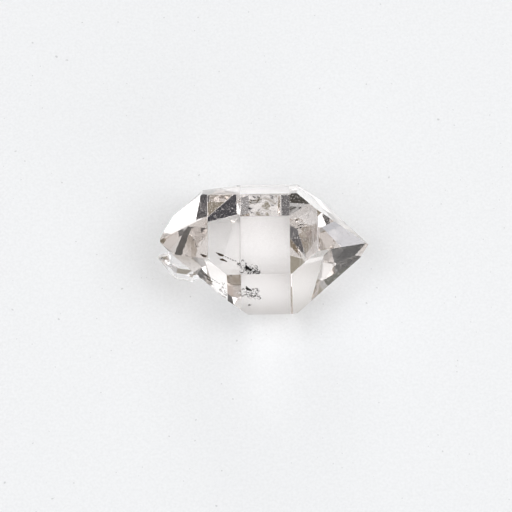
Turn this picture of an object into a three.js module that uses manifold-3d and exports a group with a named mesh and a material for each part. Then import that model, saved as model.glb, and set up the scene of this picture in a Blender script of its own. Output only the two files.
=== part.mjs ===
// A Herkimer diamond: a clear quartz crystal with a point at both ends, and a small
// crystal of the same kind that grew into its front left flank. They are one solid.
//
// Millimetres, +Z up. The crystal lies on a prism face with its c axis, the long axis of
// quartz, along X. The origin is the middle of its bounding box's lower face.

import * as THREE from 'three';
import { ConvexGeometry } from 'three/addons/geometries/ConvexGeometry.js';
import { mergeVertices } from 'three/addons/utils/BufferGeometryUtils.js';
import Module from 'manifold-3d';

const wasm = await Module();
wasm.setup();

const degrees = THREE.MathUtils.degToRad;

// Quartz's habit: the normal of every pyramid face leans this far from the c axis, and the
// six prism faces stand 60 degrees apart around it. Roll turns from +Y towards +Z.
const PYRAMID_LEAN = degrees(51.79);
const ROLL = {
  rearUpper: degrees(30),
  top: degrees(90),
  frontUpper: degrees(150),
  frontLower: degrees(210),
  bottom: degrees(270),
  rearLower: degrees(330),
};

// The large crystal. prism: each prism face's distance from the c axis. right and left:
// how far from the middle, along the c axis, the pyramid face over that prism face meets
// it. No two faces grew alike, so no two numbers are the same.
const LARGE = {
  prism: { top: 6.9, rearUpper: 8.67, rearLower: 8.82, bottom: 6.9, frontLower: 7.14, frontUpper: 8.07 },
  right: { top: 7.32, rearUpper: 4.72, rearLower: 7.96, bottom: 3.62, frontLower: 4.53, frontUpper: 3.91 },
  left: { top: 7.14, rearUpper: 7.83, rearLower: 3.45, bottom: 3.03, frontLower: 1.97, frontUpper: 4.65 },
};

// The small crystal, and where its middle and c axis lie. The large one was in its way at
// the rear, so its lower rear prism face is close to its axis and reaches far.
const SMALL = {
  prism: { top: 2.16, rearUpper: 2.2, rearLower: 0.57, bottom: 2.2, frontLower: 1.75, frontUpper: 2.16 },
  right: { top: 1.5, rearUpper: 1.1, rearLower: 1.0, bottom: 1.2, frontLower: 1.35, frontUpper: 1.5 },
  left: { top: 1.48, rearUpper: 1.36, rearLower: 3.33, bottom: 1.0, frontLower: 0.96, frontUpper: 1.02 },
};
const SMALL_MIDDLE = new THREE.Vector3(-10.39, -0.97, 6.75);
const SMALL_ROLL = degrees(25.4);
const SMALL_YAW = degrees(-10.5);

// Chips knocked out of the large crystal's front left edge, where it broke from its
// pocket: how far along the edge (0 at the rear, 1 at the front), radius, and depth.
const EDGE_CHIPS = [
  { along: 0.47, radius: 0.5, depth: 0.12 },
  { along: 0.57, radius: 0.8, depth: 0.24 },
  { along: 0.7, radius: 0.9, depth: 0.42 },
  { along: 0.76, radius: 0.45, depth: 0.2 },
  { along: 0.86, radius: 0.6, depth: 0.14 },
  { along: 0.94, radius: 0.7, depth: 0.26 },
];
// The left point is a little bruised as well.
const TIP_CHIP = { radius: 1.1, depth: 0.3 };

// One face's plane: lean is the angle of its normal to the c axis, side is +1 for the
// right end and -1 for the left, and offset is its distance from the crystal's middle.
function facePlane(lean, side, roll, offset) {
  const radial = Math.sin(lean);
  const normal = new THREE.Vector3(
    side * Math.cos(lean),
    radial * Math.cos(roll),
    radial * Math.sin(roll),
  );
  return new THREE.Plane(normal, -offset);
}

// All eighteen faces of one crystal, by name: six prism faces and six at each end.
function facePlanes({ prism, right, left }) {
  const planes = {};
  for (const [face, roll] of Object.entries(ROLL)) {
    planes[face] = facePlane(Math.PI / 2, 1, roll, prism[face]);
    for (const [end, side, reach] of [['right', 1, right[face]], ['left', -1, left[face]]]) {
      const offset = Math.cos(PYRAMID_LEAN) * reach + Math.sin(PYRAMID_LEAN) * prism[face];
      planes[`${end}:${face}`] = facePlane(PYRAMID_LEAN, side, roll, offset);
    }
  }
  return planes;
}

// The point that three planes share, or null where they are parallel to one line.
function meetingPoint(a, b, c) {
  const normals = new THREE.Matrix3().set(
    a.normal.x, a.normal.y, a.normal.z,
    b.normal.x, b.normal.y, b.normal.z,
    c.normal.x, c.normal.y, c.normal.z,
  );
  if (Math.abs(normals.determinant()) < 1e-6) return null;
  return new THREE.Vector3(-a.constant, -b.constant, -c.constant).applyMatrix3(normals.invert());
}

// A crystal is the space inside all its faces. Its corners are the points where three
// faces meet that lie outside none of the others.
function crystalGeometry(planes) {
  const faces = Object.values(planes);
  const corners = [];
  for (let i = 0; i < faces.length; i += 1) {
    for (let j = i + 1; j < faces.length; j += 1) {
      for (let k = j + 1; k < faces.length; k += 1) {
        const point = meetingPoint(faces[i], faces[j], faces[k]);
        if (point && faces.every((face) => face.distanceToPoint(point) < 1e-6)) corners.push(point);
      }
    }
  }
  return new ConvexGeometry(corners);
}

// A chip is a scoop with facets: a coarse ball that bites into a corner or an edge by its
// depth. outward points away from the stone there.
function chipGeometry(point, outward, { radius, depth }) {
  const ball = new THREE.IcosahedronGeometry(radius, 1);
  const spin = new THREE.Euler(7 * radius, 5 * depth, 3 * point.x);
  ball.applyMatrix4(new THREE.Matrix4().makeRotationFromEuler(spin));
  const centre = point.clone().addScaledVector(outward, radius - depth);
  return ball.translate(centre.x, centre.y, centre.z);
}

function toSolid(geometry) {
  geometry.deleteAttribute('normal');
  geometry.deleteAttribute('uv');
  const welded = mergeVertices(geometry, 1e-5);
  return new wasm.Manifold(new wasm.Mesh({
    numProp: 3,
    vertProperties: new Float32Array(welded.attributes.position.array),
    triVerts: new Uint32Array(welded.index.array),
  }));
}

function toGeometry(solid) {
  const mesh = solid.getMesh();
  const indexed = new THREE.BufferGeometry();
  indexed.setAttribute('position', new THREE.BufferAttribute(mesh.vertProperties, 3));
  indexed.setIndex(new THREE.BufferAttribute(mesh.triVerts, 1));
  const faceted = indexed.toNonIndexed();
  faceted.computeVertexNormals();
  return faceted;
}

// The large crystal rests on its bottom face, so its axis lies that face's distance up.
const largePlanes = facePlanes(LARGE);
const lift = new THREE.Vector3(0, 0, LARGE.prism.bottom);
const large = toSolid(crystalGeometry(largePlanes).translate(0, 0, lift.z));

const smallGeometry = crystalGeometry(facePlanes(SMALL));
smallGeometry.rotateX(SMALL_ROLL).rotateZ(SMALL_YAW);
smallGeometry.translate(SMALL_MIDDLE.x, SMALL_MIDDLE.y, SMALL_MIDDLE.z);
const small = toSolid(smallGeometry);

// The chipped edge runs between the two front faces of the left point.
const upperFace = largePlanes['left:frontUpper'];
const lowerFace = largePlanes['left:frontLower'];
const edgeRear = meetingPoint(upperFace, lowerFace, largePlanes['left:top']).add(lift);
const edgeFront = meetingPoint(upperFace, lowerFace, largePlanes.frontUpper).add(lift);
const edgeOutward = upperFace.normal.clone().add(lowerFace.normal).normalize();
const edgeChips = EDGE_CHIPS.map((chip) => {
  const point = edgeRear.clone().lerp(edgeFront, chip.along);
  return chipGeometry(point, edgeOutward, chip);
});

const leftTip = meetingPoint(
  largePlanes['left:top'], largePlanes['left:rearLower'], largePlanes['left:frontLower'],
).add(lift);
const tipChip = chipGeometry(leftTip, new THREE.Vector3(-1, 0, 0), TIP_CHIP);

let stone = large.add(small);
for (const chip of [...edgeChips, tipChip]) stone = stone.subtract(toSolid(chip));

// Put the origin under the middle of the finished stone.
const geometry = toGeometry(stone);
geometry.computeBoundingBox();
const middle = geometry.boundingBox.getCenter(new THREE.Vector3());
geometry.translate(-middle.x, -middle.y, -geometry.boundingBox.min.z);

const quartz = new THREE.MeshStandardMaterial({
  color: '#eceae8',
  roughness: 0.05,
  metalness: 0,
  transparent: true,
  opacity: 0.35,
});

const crystal = new THREE.Mesh(geometry, quartz);
crystal.name = 'herkimer_crystal';

const group = new THREE.Group();
group.add(crystal);

export default group;
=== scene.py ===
# %% [markdown]
# # A Herkimer diamond
#
# This lesson dresses a small clear quartz crystal that lies on white paper. It is a
# stone with a point at both ends, so clear that its look is made by what lies around
# it: every face is a little window onto the paper, or onto one patch of the room. The
# steps are the stone's own mesh, its rough faces and worn edges, the quartz, what grew
# inside it, the paper, the light of the room, and the camera.

import math

import bpy
import bmesh
import numpy as np
from mathutils import Matrix, Vector


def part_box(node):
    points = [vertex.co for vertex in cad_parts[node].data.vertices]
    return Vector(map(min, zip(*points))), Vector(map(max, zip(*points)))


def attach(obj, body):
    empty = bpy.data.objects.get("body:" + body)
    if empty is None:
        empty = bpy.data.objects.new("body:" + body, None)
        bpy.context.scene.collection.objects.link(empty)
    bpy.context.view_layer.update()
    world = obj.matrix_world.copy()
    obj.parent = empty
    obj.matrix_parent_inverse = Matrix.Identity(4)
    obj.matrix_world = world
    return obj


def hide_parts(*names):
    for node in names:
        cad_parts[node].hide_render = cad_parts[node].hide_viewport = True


MM = 0.001

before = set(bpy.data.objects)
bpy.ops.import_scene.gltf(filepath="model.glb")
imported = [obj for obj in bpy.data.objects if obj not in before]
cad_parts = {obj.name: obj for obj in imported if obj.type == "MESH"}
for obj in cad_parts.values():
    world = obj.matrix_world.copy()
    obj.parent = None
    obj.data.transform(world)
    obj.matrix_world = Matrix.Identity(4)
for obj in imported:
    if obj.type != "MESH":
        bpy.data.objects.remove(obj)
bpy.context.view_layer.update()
stone_low, stone_high = (np.array(corner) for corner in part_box("herkimer_crystal"))
print("stone, mm:", np.round((stone_high - stone_low) / MM, 2))


# %% [markdown]
# ## Helpers
#
# Colours are written as sRGB hex values, the numbers that a paint program shows, and
# Blender's shaders want linear light, so one function turns one into the other. A
# material is a tree of nodes, and one more function adds a node, sets it and links it.
# The last two start a material and put an object into the scene.

# %% Helpers for colours, nodes, materials and objects
def linear(hex_colour):
    """Linear red, green, blue and alpha of an sRGB hex colour such as '#ff8800'."""
    channels = [int(hex_colour[i : i + 2], 16) / 255 for i in (1, 3, 5)]
    light = [c / 12.92 if c <= 0.04045 else ((c + 0.055) / 1.055) ** 2.4 for c in channels]
    return (*light, 1.0)


def add(tree, kind, settings=None, output=0, **inputs):
    """Adds a shader node and gives back one of its outputs. settings are its own options.
    Each input is a value, or another node's output, which is linked. In an input's name
    an underscore stands for a space, and i0 or i1 means the input of that number."""
    node = tree.nodes.new("ShaderNode" + kind)
    for name, value in (settings or {}).items():
        setattr(node, name, value)
    for name, value in inputs.items():
        numbered = name[0] == "i" and name[1:].isdigit()
        socket = node.inputs[int(name[1:]) if numbered else name.replace("_", " ")]
        if isinstance(value, bpy.types.NodeSocket):
            tree.links.new(value, socket)
        else:
            socket.default_value = value
    return node.outputs[output]


def new_material(name):
    """An empty material, its tree of nodes, and its output node."""
    material = bpy.data.materials.new(name)
    material.use_nodes = True
    tree = material.node_tree
    tree.nodes.clear()
    return material, tree, tree.nodes.new("ShaderNodeOutputMaterial")


def new_object(name, data):
    """An object of that name and data, put into the scene."""
    thing = bpy.data.objects.new(name, data)
    bpy.context.collection.objects.link(thing)
    return thing


print("white, in linear light:", linear("#ffffff"))

# %% [markdown]
# ## The stone's own mesh
#
# Growth made the flat faces, and the solid model has them, as loose triangles. Two things
# are finer than that model: a few faces are rough, and the edges are worn. So the stone
# gets a mesh of its own. Its triangles are joined, and those that lie in one plane become
# one face again, so that every edge of the mesh is an edge of the crystal.

# %% Copy the solid, and make its faces whole
WELD_DISTANCE = 0.001 * MM
SAME_PLANE = math.radians(1)


def welded_copy(node, name):
    """The node's mesh with its corners joined and its flat faces made whole again."""
    body = bmesh.new()
    body.from_mesh(node.data)
    bmesh.ops.remove_doubles(body, verts=body.verts, dist=WELD_DISTANCE)
    bmesh.ops.dissolve_limit(body, angle_limit=SAME_PLANE, verts=body.verts, edges=body.edges)
    mesh = bpy.data.meshes.new(name)
    body.to_mesh(mesh)
    body.free()
    mesh.shade_flat()
    return mesh


stone_mesh = welded_copy(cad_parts["herkimer_crystal"], "quartz_stone")
stone = new_object("quartz_stone", stone_mesh)
print("faces:", len(stone_mesh.polygons), "edges:", len(stone_mesh.edges))

# %% [markdown]
# ## Rough faces
#
# Most faces are as flat as glass, but three are not. The lower front face of the prism is
# dented as if by a small hammer, and two lower rear faces, one of the prism and one of the
# left point, are finely pitted. Quartz has fixed angles: the six faces of its prism stand
# 60 degrees apart, and those of a point lean 51.79 degrees from the c axis, which is the
# stone's long axis. So a face is known by the way it looks, and it gets an attribute of 1
# that the quartz reads later.

# %% Mark the rough faces
# Degrees: how far a face's normal leans from the c axis, and its roll round that axis,
# from the rear upwards.
SIDEWAYS, LEFT_POINT = 90, 180 - 51.79
LOWER_REAR, LOWER_FRONT = 330, 210
ROUGH_FACES = {
    "pitted": ((SIDEWAYS, LOWER_REAR), (LEFT_POINT, LOWER_REAR)),
    "hammered": ((SIDEWAYS, LOWER_FRONT),),
}
# The cosine of the angle within which two directions count as the same.
SAME_DIRECTION = 0.999


def read(items, key, width, kind=np.float32):
    """One value, or one row of them, for each item of a mesh's list."""
    values = np.zeros(len(items) * width, kind)
    items.foreach_get(key, values)
    return values.reshape(-1, width) if width > 1 else values


def mark_faces(mesh, name, directions):
    """Writes 1 on the faces that look in one of the directions, each given as a lean and a
    roll. Such a normal is (cos lean, sin lean times cos roll, sin lean times sin roll)."""
    normals = read(mesh.polygons, "normal", 3)
    marked = np.zeros(len(normals), np.float32)
    for lean, roll in np.radians(directions):
        around, up = math.sin(lean) * math.cos(roll), math.sin(lean) * math.sin(roll)
        marked[normals @ np.array((math.cos(lean), around, up)) > SAME_DIRECTION] = 1
    mesh.attributes.new(name, "FLOAT", "FACE").data.foreach_set("value", marked)
    print(name, "faces:", int(marked.sum()))


for name, directions in ROUGH_FACES.items():
    mark_faces(stone_mesh, name, directions)

# %% [markdown]
# ## Worn edges
#
# Every long edge of a real crystal is worn round by a hundredth of a millimetre or two,
# and that thin band is what glints. A Bevel modifier rounds the edges that carry a weight,
# so the weight alone says which. The little edges of the chips stay sharp.

# %% Wear the long edges round
EDGE_WEAR = 0.015 * MM
LONG_EDGE = 1.5 * MM


def mark_edges(mesh):
    """Gives each edge that is longer than LONG_EDGE a bevel weight of 1."""
    places = read(mesh.vertices, "co", 3)
    ends = read(mesh.edges, "vertices", 2, np.int32)
    lengths = np.linalg.norm(places[ends[:, 0]] - places[ends[:, 1]], axis=1)
    weights = (lengths > LONG_EDGE).astype(np.float32)
    mesh.attributes.new("bevel_weight_edge", "FLOAT", "EDGE").data.foreach_set("value", weights)
    print("worn edges:", int(weights.sum()))


mark_edges(stone_mesh)
wear = stone.modifiers.new("edge wear", "BEVEL")
wear.width = EDGE_WEAR
wear.segments = 2
wear.limit_method = "WEIGHT"
wear.use_clamp_overlap = False

# %% [markdown]
# ## The relief of the faces
#
# The roughness is too fine to be worth real geometry, so it is a bump: the shader turns
# the normal as if the surface rose and fell. Four noises add up to it. The dents of the
# hammered face are a tenth of a millimetre or so deep and fill only its lower left part,
# and the pits are finer. Growth lines across the c axis and a slow waviness are on every
# face, only a micron or so high.

# %% Dents, pits, growth lines and waviness
# Sizes, spacings and heights are in millimetres. A noise seldom leaves the middle half of
# its range, so what shows is about half of these heights. A pit is where its noise passes
# the share, and the growth lines' noise changes 0.06 times as fast along them.
HAMMER_SIZE, HAMMER_HEIGHT = 2.2, 0.3
PIT_SIZE, PIT_SHARE, PIT_DEPTH = 0.18, 0.64, 0.12
LINE_SPACING, LINE_HEIGHT, ALONG_LINES = 0.35, 0.0006, 0.06
WAVE_SIZE, WAVE_HEIGHT = 4.0, 0.003
# The dents lie left of the first place and below the second, and fade out around both.
HAMMER_END, HAMMER_TOP, HAMMER_FADE = 2.1 * MM, 4.2 * MM, 0.3 * MM


def face_relief(tree):
    """The bumped normal. Its height is a sum of layers. Each layer is 0 where its noise is
    below the start, rises evenly to its full height where the noise is 1, and is then
    multiplied by the value that says where it shows."""
    place = add(tree, "TexCoord", output="Object")
    stretch = (1.0, ALONG_LINES, ALONG_LINES)
    across = add(tree, "VectorMath", {"operation": "MULTIPLY"}, i0=place, i1=stretch)
    marks = {}
    for name in ROUGH_FACES:
        marks[name] = add(tree, "Attribute", {"attribute_name": name}, output="Fac")
    dented = marks["hammered"]
    for axis, end in (("X", HAMMER_END), ("Z", HAMMER_TOP)):
        limits = {"From_Min": end + HAMMER_FADE, "From_Max": end - HAMMER_FADE}
        value = add(tree, "SeparateXYZ", output=axis, Vector=place)
        inside = add(tree, "MapRange", {"interpolation_type": "SMOOTHSTEP"}, Value=value, **limits)
        dented = add(tree, "Math", {"operation": "MULTIPLY"}, i0=dented, i1=inside)
    layers = (
        # the noise's place, size, detail and start, the full height, and where it shows
        (place, HAMMER_SIZE, 1.0, 0.0, HAMMER_HEIGHT, dented),
        (place, PIT_SIZE, 2.0, PIT_SHARE, -PIT_DEPTH, marks["pitted"]),
        (across, LINE_SPACING, 2.0, 0.0, LINE_HEIGHT, 1.0),
        (place, WAVE_SIZE, 0.0, 0.0, WAVE_HEIGHT, 1.0),
    )
    height = 0.0
    for vector, size, detail, start, full, shown in layers:
        noise = add(tree, "TexNoise", Vector=vector, Scale=1 / (size * MM), Detail=detail)
        layer = add(tree, "MapRange", Value=noise, From_Min=start, To_Max=full)
        height = add(tree, "Math", {"operation": "MULTIPLY_ADD"}, i0=layer, i1=shown, i2=height)
    return add(tree, "Bump", Height=height, Distance=MM, Strength=1.0)


print("finest relief, mm:", min(HAMMER_SIZE, PIT_SIZE, LINE_SPACING, WAVE_SIZE))

# %% [markdown]
# ## The quartz
#
# Quartz is silica that grew from hot water in a pocket of rock. It has a refractive
# index of 1.544, higher than window glass, so light that meets a rear face at a slant
# is thrown back as by a mirror. This one holds a trace of smoke: blue light is lost a
# little faster than red, so long paths through the stone look warm. That loss is a
# volume property, given as an absorption colour and density on plain sockets.

# %% Quartz, grown in a water-filled pocket: clear, flat faces, a trace of smoke
QUARTZ_INDEX = 1.544
CLEAR = {"Base_Color": linear("#ffffff"), "Roughness": 0.0, "Transmission_Weight": 1.0}
# The loss per metre is the density times what the colour lacks of white. With these, red
# light falls to a third in about 25 centimetres, and blue light in about 16.
SMOKE_COLOUR, SMOKE_DENSITY = linear("#c4aa95"), 10.0


def quartz_material():
    """Clear quartz: all light goes through or is mirrored, and the volume takes a little."""
    material, tree, output = new_material("quartz_grown_clear")
    surface = add(tree, "BsdfPrincipled", IOR=QUARTZ_INDEX, Normal=face_relief(tree), **CLEAR)
    smoke = add(tree, "VolumeAbsorption", Color=SMOKE_COLOUR, Density=SMOKE_DENSITY)
    tree.links.new(surface, output.inputs["Surface"])
    tree.links.new(smoke, output.inputs["Volume"])
    print("nodes of the quartz:", len(tree.nodes))
    return material


stone_mesh.materials.append(quartz_material())
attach(stone, "root")
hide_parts("herkimer_crystal")

# %% [markdown]
# ## What grew inside
#
# Along a crack that healed while the crystal grew, the quartz closed round small
# hollows full of gas, and round black anthraxolite, which is petroleum baked until only
# carbon was left. The carbon lies there as specks and as two thin films. Fine black
# strands are painted shade, the dark rims of gas hollows. The main ones are placed one by one.

# %% Where the main specks, films, hollows and strands lie
# The middle of the crack, in mm.
CRACK_MIDDLE = np.array((-2.07, -3.29, 6.15))
# Each row: the place from the crack's middle, then length, width and depth, all in mm,
# and the bearing of the length, in degrees from +X towards +Y.
SPECKS = (
    (0.00, 0.00, 0.00, 0.92, 0.42, 0.38, -41),
    (0.20, -0.16, 0.05, 0.50, 0.22, 0.18, -38),
    (-0.19, 0.73, -0.40, 0.26, 0.15, 0.14, -60),
    (0.05, 0.41, -4.87, 0.34, 0.18, 0.12, 35),
    (0.90, -0.11, -1.75, 0.38, 0.22, 0.16, 30),
    (1.42, -0.94, 0.70, 0.46, 0.11, 0.10, 3),
    (-0.80, -0.27, -1.50, 0.26, 0.14, 0.12, 10),
    (-2.92, 1.76, -0.55, 0.26, 0.13, 0.10, -22),
    (-2.58, 1.60, -0.55, 0.28, 0.14, 0.10, -20),
    (-2.24, 1.45, -0.60, 0.24, 0.12, 0.10, -26),
    (-1.92, 1.31, -0.70, 0.26, 0.13, 0.10, -16),
    (-1.58, 1.20, -0.80, 0.24, 0.14, 0.10, -22),
)
FILMS = (
    (-3.62, 2.08, -0.55, 1.16, 0.34, 0.03, -24),
    (-3.22, 1.30, -0.55, 1.10, 0.28, 0.03, -22),
)
HOLLOWS = (
    (-1.18, 1.05, -2.39, 0.44, 0.40, 0.26, 0),
    (-0.66, 1.52, -2.26, 0.36, 0.24, 0.18, 30),
    (1.05, 0.30, -0.54, 0.44, 0.30, 0.20, -50),
    (0.60, 1.34, -4.00, 0.40, 0.22, 0.16, -30),
    (-0.90, 0.07, -1.20, 0.36, 0.20, 0.14, 5),
)
# The strands are painted shade: black rings on the rims of the hollows, which look dark there.
# Each row: the place, the radius of the strand's bend and its thickness, in mm, how far
# round it goes, and the bearing of its middle, in degrees.
STRANDS = (
    (-1.18, 1.05, -2.39, 0.21, 0.085, 330, 40),
    (-0.66, 1.50, -2.26, 0.17, 0.090, 210, 90),
    (1.05, 0.24, -0.54, 0.26, 0.080, 170, 0),
    (1.20, -0.50, -0.20, 0.22, 0.080, 200, 200),
    (0.60, -0.62, -0.60, 0.20, 0.070, 240, 120),
    (-0.80, -0.10, -1.50, 0.24, 0.065, 260, 250),
    (0.10, 0.36, -4.80, 0.22, 0.075, 190, 300),
)
print("placed by hand:", sum(len(rows) for rows in (SPECKS, FILMS, HOLLOWS, STRANDS)))

# %% [markdown]
# ## Small things in the crack
#
# Many more specks and strands are too small to place one by one, so they are scattered at
# random. Most lie to the right of the crack's middle, and the crack goes down from there,
# so they lie at many depths. A seed makes the same scatter each time.

# %% Scatter the small specks and strands
# The scattered strands are small rings of painted shade, like the dark rims of tiny gas hollows.
SCATTERED_SPECKS, SCATTERED_STRANDS = 23, 46
# How far east of the middle and how widely spread they are, and between which heights.
EAST_MIDDLE, EAST_SPREAD = 0.45, 0.65
LOWEST, HIGHEST = -2.9, 0.4
# The crack's own place: its northing at the middle, how much that changes for each mm
# east and each mm up, and how far things stray from it.
CRACK_NORTH, NORTH_PER_EAST, NORTH_PER_UP, STRAY = 0.1, -0.35, -0.1, 0.24
SPECK_LENGTH, SPECK_WIDTH_SHARE = (0.08, 0.26), (0.35, 0.8)
STRAND_RADIUS, STRAND_THICKNESS, STRAND_SWEEP = (0.08, 0.22), (0.035, 0.07), (90, 300)


def scattered_places(count, seed):
    """Places in the crack: a normal spread eastwards, an even one in height, and a
    northing that follows the crack's plane, with a normal spread about it."""
    rng = np.random.default_rng(seed)
    east = rng.normal(EAST_MIDDLE, EAST_SPREAD, count)
    height = rng.uniform(LOWEST, HIGHEST, count)
    plane = CRACK_NORTH + NORTH_PER_EAST * east + NORTH_PER_UP * height
    return np.stack((east, plane + rng.normal(0, STRAY, count), height), axis=-1)


def scattered_specks(count, seed):
    """Rows like those of SPECKS, with even spreads of length, width and bearing."""
    rng = np.random.default_rng(seed)
    length = rng.uniform(*SPECK_LENGTH, (count, 1))
    width = length * rng.uniform(*SPECK_WIDTH_SHARE, (count, 1))
    bearing = rng.uniform(-90, 90, (count, 1))
    return np.hstack((scattered_places(count, seed + 1), length, width, width, bearing))


def scattered_strands(count, seed):
    """Rows like those of STRANDS, with even spreads of radius, thickness and angles."""
    rng = np.random.default_rng(seed)
    radius = rng.uniform(*STRAND_RADIUS, (count, 1))
    thickness = rng.uniform(*STRAND_THICKNESS, (count, 1))
    sweep = rng.uniform(*STRAND_SWEEP, (count, 1))
    bearing = rng.uniform(0, 360, (count, 1))
    return np.hstack((scattered_places(count, seed + 1), radius, thickness, sweep, bearing))


specks = [*SPECKS, *scattered_specks(SCATTERED_SPECKS, seed=5)]
strands = [*STRANDS, *scattered_strands(SCATTERED_STRANDS, seed=7)]
print("specks:", len(specks), "strands:", len(strands))

# %% [markdown]
# ## Their shapes
#
# A speck, a film or a hollow is a ball drawn long, flattened, bent and made uneven, and a
# strand is a bent tube. Both are rings of corners, so one function joins the rings of
# either with faces. Each kind is worked out as one array, with no loop over the pieces.

# %% Faces that join rings of corners
def ring_faces(ring_count, corner_count):
    """Four-sided faces that join each ring of corners to the next: a corner, the one after
    it, and the two beneath. A fan of such faces from a ring's first corner closes each end."""
    here = np.arange(ring_count * corner_count).reshape(ring_count, corner_count)
    after = np.roll(here, -1, axis=1)
    walls = np.stack((here[1:], after[1:], after[:-1], here[:-1]), axis=-1).reshape(-1, 4)
    odd = np.arange(1, corner_count - 2, 2)
    cap = np.stack((0 * odd, odd, odd + 1, odd + 2), axis=-1)
    return np.concatenate((walls, cap, here[-1][cap[:, ::-1]]))


BALL_ROUND, BALL_UP = 20, 11
STRAND_LONG, STRAND_ROUND = 22, 8
ball_faces = ring_faces(BALL_UP, BALL_ROUND)
strand_faces = ring_faces(STRAND_LONG, STRAND_ROUND)
print("faces of a ball:", len(ball_faces), "of a strand:", len(strand_faces))

# %% Specks, films and hollows: uneven balls
# The poles are rings this many radians from the ball's axis. The three shares are how far
# an outline swells in three lobes and in five, and the most that a speck bends.
POLE = 0.02
THREE_LOBES, FIVE_LOBES, MOST_BEND = 0.16, 0.1, 0.5


def unit_ball():
    """Corners of a ball of radius 1: rings of corners at even angles from pole to pole,
    the poles being rings shrunk to a hair's width and closed with flat caps."""
    turn = np.linspace(0, math.tau, BALL_ROUND, endpoint=False)
    lean = np.linspace(POLE, math.pi - POLE, BALL_UP)[:, None]
    east, north = np.sin(lean) * np.cos(turn), np.sin(lean) * np.sin(turn)
    return np.stack((east, north, np.cos(lean) + 0 * turn), axis=-1).reshape(-1, 3)


def speck_corners(rows, seed):
    """The corners of all the specks. Each is the unit ball times half its length, width
    and depth; its outline swells and shrinks by a sixth in three lobes and by a tenth in
    five; its ends bend aside by the square of the distance along it; then it turns to its
    bearing and goes to its place."""
    rng = np.random.default_rng(seed)
    rows = np.array(rows)
    ball = unit_ball()[None]
    phase = rng.uniform(0, math.tau, (2, len(rows), 1))
    angle = np.arctan2(ball[..., 1], ball[..., 0])
    swell = THREE_LOBES * np.sin(3 * angle + phase[0]) + FIVE_LOBES * np.sin(5 * angle + phase[1])
    along, across, up = (ball[..., i] * rows[:, 3 + i, None] / 2 for i in range(3))
    along, across = along * (1 + swell), across * (1 + swell)
    bend = rng.uniform(-MOST_BEND, MOST_BEND, (len(rows), 1))
    across = across + bend * along**2 / rows[:, 3, None]
    bearing = np.radians(rows[:, 6, None])
    east = along * np.cos(bearing) - across * np.sin(bearing)
    north = along * np.sin(bearing) + across * np.cos(bearing)
    corners = np.stack((east, north, up), axis=-1) + rows[:, None, :3] + CRACK_MIDDLE
    return corners.reshape(-1, 3) * MM


print("corners of a ball:", len(unit_ball()))

# %% Strands: bent tubes that end in a point
# The share of a strand's length that is left off at both ends, where it would be a point
# without width, and how far a strand rises and falls, as a share of its radius.
TIP, RISE = 0.02, 1 / 3


def strand_corners(rows, seed):
    """The corners of all the strands. Each is a tube along an arc of its radius, its
    thickness falling to a point at both ends as the root of a sine; the arc rises and
    falls by a third of its radius as a sine wave that has its own phase."""
    rng = np.random.default_rng(seed)
    rows = np.array(rows)
    share = np.linspace(0, 1, STRAND_LONG)[None, :, None]
    around = np.linspace(0, math.tau, STRAND_ROUND, endpoint=False)[None, None, :]
    radius, thickness, sweep, bearing = (rows[:, i, None, None] for i in (3, 4, 5, 6))
    angle = np.radians(bearing + sweep * (share - 0.5))
    half = thickness / 2 * np.sqrt(np.sin(math.pi * (TIP + (1 - 2 * TIP) * share)))
    out = radius + half * np.cos(around)
    phase = rng.uniform(0, math.tau, (len(rows), 1, 1))
    rise = RISE * radius * np.sin(2 * angle + phase) + half * np.sin(around)
    places = np.stack((out * np.cos(angle), out * np.sin(angle), rise + 0 * out), axis=-1)
    return (places + rows[:, None, None, :3] + CRACK_MIDDLE).reshape(-1, 3) * MM


print("corners of a strand:", STRAND_LONG * STRAND_ROUND)

# %% [markdown]
# ## Carbon and gas
#
# Closed in quartz, carbon hardly shines, because its own index is not far from the
# quartz's. Where it is a thin film it is brown and not black. A hollow is the quartz's own
# boundary turned inside out: light goes from quartz into gas, so its refractive index is
# 1 divided by that of quartz.

# %% Anthraxolite, baked hard in the rock, and gas, sealed in
def carbon_material(name, colour):
    """Anthraxolite: matt, and with little of the shine that it would have in air."""
    material, tree, output = new_material(name)
    surface = add(tree, "BsdfPrincipled", Base_Color=colour, Roughness=0.5, Specular_IOR_Level=0.1)
    tree.links.new(surface, output.inputs["Surface"])
    return material


def gas_material(name):
    """Gas in a hollow that the quartz closed round as it grew."""
    material, tree, output = new_material(name)
    surface = add(tree, "BsdfPrincipled", IOR=1 / QUARTZ_INDEX, **CLEAR)
    tree.links.new(surface, output.inputs["Surface"])
    return material


# The black serves the carbon specks, and the strands' painted shade as well.
carbon_and_rim_shade = carbon_material("anthraxolite_black_and_painted_rim_shade", linear("#0c0a09"))
film = carbon_material("anthraxolite_film_brown", linear("#4a4038"))
gas = gas_material("gas_sealed_in_quartz")
print("index from quartz to gas:", round(1 / QUARTZ_INDEX, 3))

# %% Build the specks, films, hollows and strands
def build_bits(name, corners, faces, count, material):
    """One object of that many like pieces, which rides with the stone. The faces of one
    piece are repeated for the others, each time counting on from the last one's corners."""
    starts = len(corners) // count * np.arange(count)[:, None, None]
    all_faces = (faces + starts).reshape(-1, 4)
    mesh = bpy.data.meshes.new(name)
    mesh.from_pydata(corners.tolist(), [], all_faces.tolist())
    mesh.shade_smooth()
    mesh.materials.append(material)
    piece = new_object(name, mesh)
    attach(piece, "root")
    print(name, "pieces:", count, "faces:", len(all_faces))


build_bits("carbon_specks", speck_corners(specks, seed=11), ball_faces, len(specks), carbon_and_rim_shade)
build_bits("carbon_films", speck_corners(FILMS, seed=14), ball_faces, len(FILMS), film)
build_bits("gas_hollows", speck_corners(HOLLOWS, seed=12), ball_faces, len(HOLLOWS), gas)
# The strands are black rings of painted shade on the rims of hollows.
build_bits("painted_rim_shade_strands", strand_corners(strands, seed=13), strand_faces, len(strands), carbon_and_rim_shade)
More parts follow.
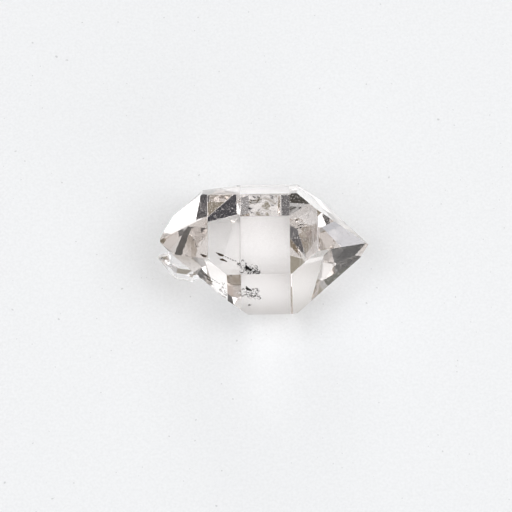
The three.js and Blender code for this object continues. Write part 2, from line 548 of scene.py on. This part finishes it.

# %% [markdown]
# ## The paper
#
# The stone lies on a sheet of plain white paper. Further off, shade is painted into the
# paper's colour, as light falls away on any table by a window, and the stone's rear faces
# show that darker ground.
# The paper is matt, so it is the same white from every side. It has a fine grain and a few
# pale grey flecks, which keep a wide white sheet from looking like empty air.

# %% Drawing paper, matt: pale near the stone, with painted shade further off
# The middle of the lit part, and the distances from it where the painted shade begins and
# is full, in metres.
LIT_MIDDLE = (0.0, 0.020, 0.0)
LIT_RADIUS, SHADE_RADIUS = 0.062, 0.110
PAPER_LIT, PAPER_PAINTED_HALF_SHADE, PAPER_PAINTED_SHADE = "#edeeef", "#c0bcb6", "#aaa59d"
# Where the middle colour lies on the way from the lit part, 0, to the shade, 1.
BETWEEN = 0.3
# Grain and flecks. Each row: the noise's size in mm and its detail, the two noise values
# between which the paper changes, and its brightness at each.
PAPER_MARKS = (
    (0.35, 2.0, 0.3, 0.7, 0.97, 1.03),
    (0.7, 1.0, 0.74, 0.8, 1.0, 0.75),
)


def paper_material():
    """Matt paper, its colour darkened by painted shade with the distance from the lit middle,
    and multiplied by the brightness of its grain and of its flecks."""
    material, tree, output = new_material("drawing_paper_matt_painted_shade")
    place = add(tree, "TexCoord", output="Object")
    offset = add(tree, "VectorMath", {"operation": "SUBTRACT"}, i0=place, i1=LIT_MIDDLE)
    distance = add(tree, "VectorMath", {"operation": "LENGTH"}, output="Value", i0=offset)
    limits = {"From_Min": LIT_RADIUS, "From_Max": SHADE_RADIUS}
    shade = add(tree, "MapRange", {"interpolation_type": "SMOOTHSTEP"}, Value=distance, **limits)
    # The ramp paints shade into the paper's colour: white near the stone, darker and browner further
    # off.
    colour = add(tree, "ValToRGB", Fac=shade)
    stops = colour.node.color_ramp.elements
    stops[0].color = linear(PAPER_LIT)
    stops[1].color = linear(PAPER_PAINTED_SHADE)
    stops.new(BETWEEN).color = linear(PAPER_PAINTED_HALF_SHADE)
    brightness = 1.0
    for size, detail, start, end, before, after in PAPER_MARKS:
        limits = {"From_Min": start, "From_Max": end, "To_Min": before, "To_Max": after}
        noise = add(tree, "TexNoise", Vector=place, Scale=1 / (size * MM), Detail=detail)
        mark = add(tree, "MapRange", Value=noise, **limits)
        brightness = add(tree, "Math", {"operation": "MULTIPLY"}, i0=brightness, i1=mark)
    grained = add(tree, "VectorMath", {"operation": "SCALE"}, i0=colour, Scale=brightness)
    surface = add(tree, "BsdfPrincipled", Base_Color=grained, Roughness=0.9, Specular_IOR_Level=0.2)
    tree.links.new(surface, output.inputs["Surface"])
    return material


# %% Lay the sheet under the stone
PAPER_REACH = 0.9
# A hair below the stone, so that the two never lie in one plane.
PAPER_LEVEL = -0.05 * MM
SQUARE = np.array(((-1, -1, 0), (1, -1, 0), (1, 1, 0), (-1, 1, 0)))

paper_mesh = bpy.data.meshes.new("paper")
paper_corners = SQUARE * PAPER_REACH + (0, 0, PAPER_LEVEL)
paper_mesh.from_pydata(paper_corners.tolist(), [], [(0, 1, 2, 3)])
paper_mesh.materials.append(paper_material())
paper = new_object("paper", paper_mesh)
print("paper, m across:", 2 * PAPER_REACH)

# %% [markdown]
# ## The light of the room
#
# The room is a soft grey dome with panels on it: two windows, low bright strips in front
# and behind, a wall and its ceiling, and the dark shapes of what is round the table, such
# as whoever bends over it. Each panel spans a range of azimuth and of elevation, with a
# soft border. A window is brighter than any paint, so light is given as linear red, green
# and blue, which may pass 1.

# %% The panels of the room
DOME_LOW, DOME_HIGH, ROOM_STRENGTH = (0.29, 0.29, 0.29), (0.96, 0.96, 0.97), 1.15
# Each row: azimuths, counted from +X towards +Y, elevations and the softness of the
# border, in degrees, and the light. A later panel covers an earlier one.
PANELS = {
    "far left wall": ((79, 178), (-1, 56), 6, (0.25, 0.22, 0.17)),
    "far left ceiling": ((114, 178), (56, 76), 4, (0.3, 0.28, 0.23)),
    "dark over rear": ((87, 98), (64, 72), 3, (0.14, 0.14, 0.15)),
    "left window": ((162, 242), (40, 78), 6, (1.76, 1.78, 1.82)),
    "right window": ((318, 388), (37, 73), 6, (2.87, 2.9, 2.96)),
    "low front": ((275, 328), (13, 31), 6, (2.2, 2.2, 2.2)),
    "low rear": ((78, 103), (8, 33), 6, (2.3, 2.3, 2.3)),
    "low far left dark": ((138, 172), (0, 14), 3, (0.1, 0.1, 0.08)),
    "low left dark": ((176, 254), (-8, 17), 3, (0.02, 0.02, 0.02)),
    "low left sky": ((190, 212), (18, 30), 3, (0.55, 0.58, 0.65)),
    "low right dark": ((16, 44), (-3, 15), 4, (0.08, 0.08, 0.08)),
    "dark near left": ((235, 248), (27, 37), 3, (0.03, 0.03, 0.03)),
    "head": ((288, 311), (52, 64), 3, (0.09, 0.09, 0.1)),
    "dark right": ((312, 336), (27, 42), 3, (0.05, 0.05, 0.06)),
    "dark rear right": ((8, 27), (42, 67), 3, (0.3, 0.3, 0.31)),
    "zenith dark": ((218, 293), (82, 90), 3, (0.15, 0.15, 0.15)),
}
print("panels:", ", ".join(PANELS))

# %% The dome, painted with its panels
ZENITH, HALF_TURN = 90.0, 180.0


def build_room():
    """A world whose light is mixed between the dome's two colours by the elevation, and then
    with each panel's light by its share: the product of three soft steps, which are 1
    well inside the panel's sides, its lower border and its upper border."""
    world = bpy.data.worlds.new("room")
    bpy.context.scene.world = world
    world.use_nodes = True
    tree = world.node_tree
    tree.nodes.clear()
    place = add(tree, "TexCoord", output="Generated")
    x, y, z = (add(tree, "SeparateXYZ", output=axis, Vector=place) for axis in "XYZ")
    turn = add(tree, "Math", {"operation": "ARCTAN2"}, i0=y, i1=x)
    azimuth = add(tree, "Math", {"operation": "DEGREES"}, i0=turn)
    rise = add(tree, "Math", {"operation": "ARCSINE"}, i0=z)
    elevation = add(tree, "Math", {"operation": "DEGREES"}, i0=rise)
    height = add(tree, "MapRange", Value=elevation, From_Max=ZENITH)
    low, high = (*DOME_LOW, 1), (*DOME_HIGH, 1)
    colour = add(tree, "Mix", {"data_type": "RGBA"}, output=2, i0=height, i6=low, i7=high)
    for (left, right), (bottom, top), softness, light in PANELS.values():
        middle, half = (left + right) / 2, (right - left) / 2
        turned = add(tree, "Math", {"operation": "SUBTRACT"}, i0=azimuth, i1=middle)
        side = add(tree, "Math", {"operation": "WRAP"}, i0=turned, i1=HALF_TURN, i2=-HALF_TURN)
        aside = add(tree, "Math", {"operation": "ABSOLUTE"}, i0=side)
        # Each border: what is measured, where it is, and which way is in.
        borders = ((aside, half, -1), (elevation, bottom, 1), (elevation, top, -1))
        share = 1.0
        for value, border, inwards in borders:
            reach = softness * inwards
            limits = {"From_Min": border - reach, "From_Max": border + reach}
            step = add(tree, "MapRange", {"interpolation_type": "SMOOTHSTEP"}, Value=value, **limits)
            share = add(tree, "Math", {"operation": "MULTIPLY"}, i0=share, i1=step)
        paint = (*light, 1)
        colour = add(tree, "Mix", {"data_type": "RGBA"}, output=2, i0=share, i6=colour, i7=paint)
    background = add(tree, "Background", Color=colour, Strength=ROOM_STRENGTH)
    output = tree.nodes.new("ShaderNodeOutputWorld")
    tree.links.new(background, output.inputs["Surface"])
    print("nodes of the room:", len(tree.nodes))


build_room()

# %% [markdown]
# ## The camera
#
# The camera looks down from in front with a long lens, and the plain colour transform
# keeps white paper white. Light bends and mirrors many times before it leaves a clear
# stone, so a path may be long, and nothing about bright paths is softened or cut short.

# %% Camera
VIEW_WIDTH = 68.28 * MM
CAMERA_DISTANCE = 502.6 * MM
CAMERA_TARGET = Vector((-0.96, -0.85, 7.0)) * MM
# Degrees: azimuth to the right of straight in front, elevation, and roll of the picture.
CAMERA_AZIMUTH, CAMERA_ELEVATION, CAMERA_ROLL = 3.02, 69.23, -3.83
# The sensor's width in mm, and the nearest and furthest that the camera sees, in metres.
SENSOR_WIDTH, NEAREST, FURTHEST = 36, 0.01, 10


def build_camera():
    """The camera stands at its distance from the target, along the direction (sine of the
    azimuth, minus its cosine) times the cosine of the elevation, and up by its sine."""
    camera = new_object("camera", bpy.data.cameras.new("camera"))
    azimuth, elevation = math.radians(CAMERA_AZIMUTH), math.radians(CAMERA_ELEVATION)
    level = math.cos(elevation)
    right, forward = math.sin(azimuth) * level, math.cos(azimuth) * level
    back = Vector((right, -forward, math.sin(elevation)))
    turn = back.to_track_quat("Z", "Y").to_matrix().to_4x4()
    camera.matrix_world = turn @ Matrix.Rotation(math.radians(CAMERA_ROLL), 4, "Z")
    camera.location = CAMERA_TARGET + back * CAMERA_DISTANCE
    camera.data.sensor_width = SENSOR_WIDTH
    camera.data.lens = SENSOR_WIDTH * CAMERA_DISTANCE / VIEW_WIDTH
    camera.data.clip_start, camera.data.clip_end = NEAREST, FURTHEST
    bpy.context.scene.camera = camera
    print("lens, mm:", round(camera.data.lens, 1))


build_camera()

# %% Light paths and colour transform
LONGEST_PATH = 24

scene = bpy.context.scene
scene.view_settings.view_transform = "Standard"
scene.cycles.max_bounces = LONGEST_PATH
scene.cycles.transmission_bounces = LONGEST_PATH
scene.cycles.glossy_bounces = LONGEST_PATH
scene.cycles.caustics_refractive = True
scene.cycles.caustics_reflective = True
scene.cycles.blur_glossy = 0.0
scene.cycles.sample_clamp_indirect = 0.0
print("most bounces:", scene.cycles.max_bounces)
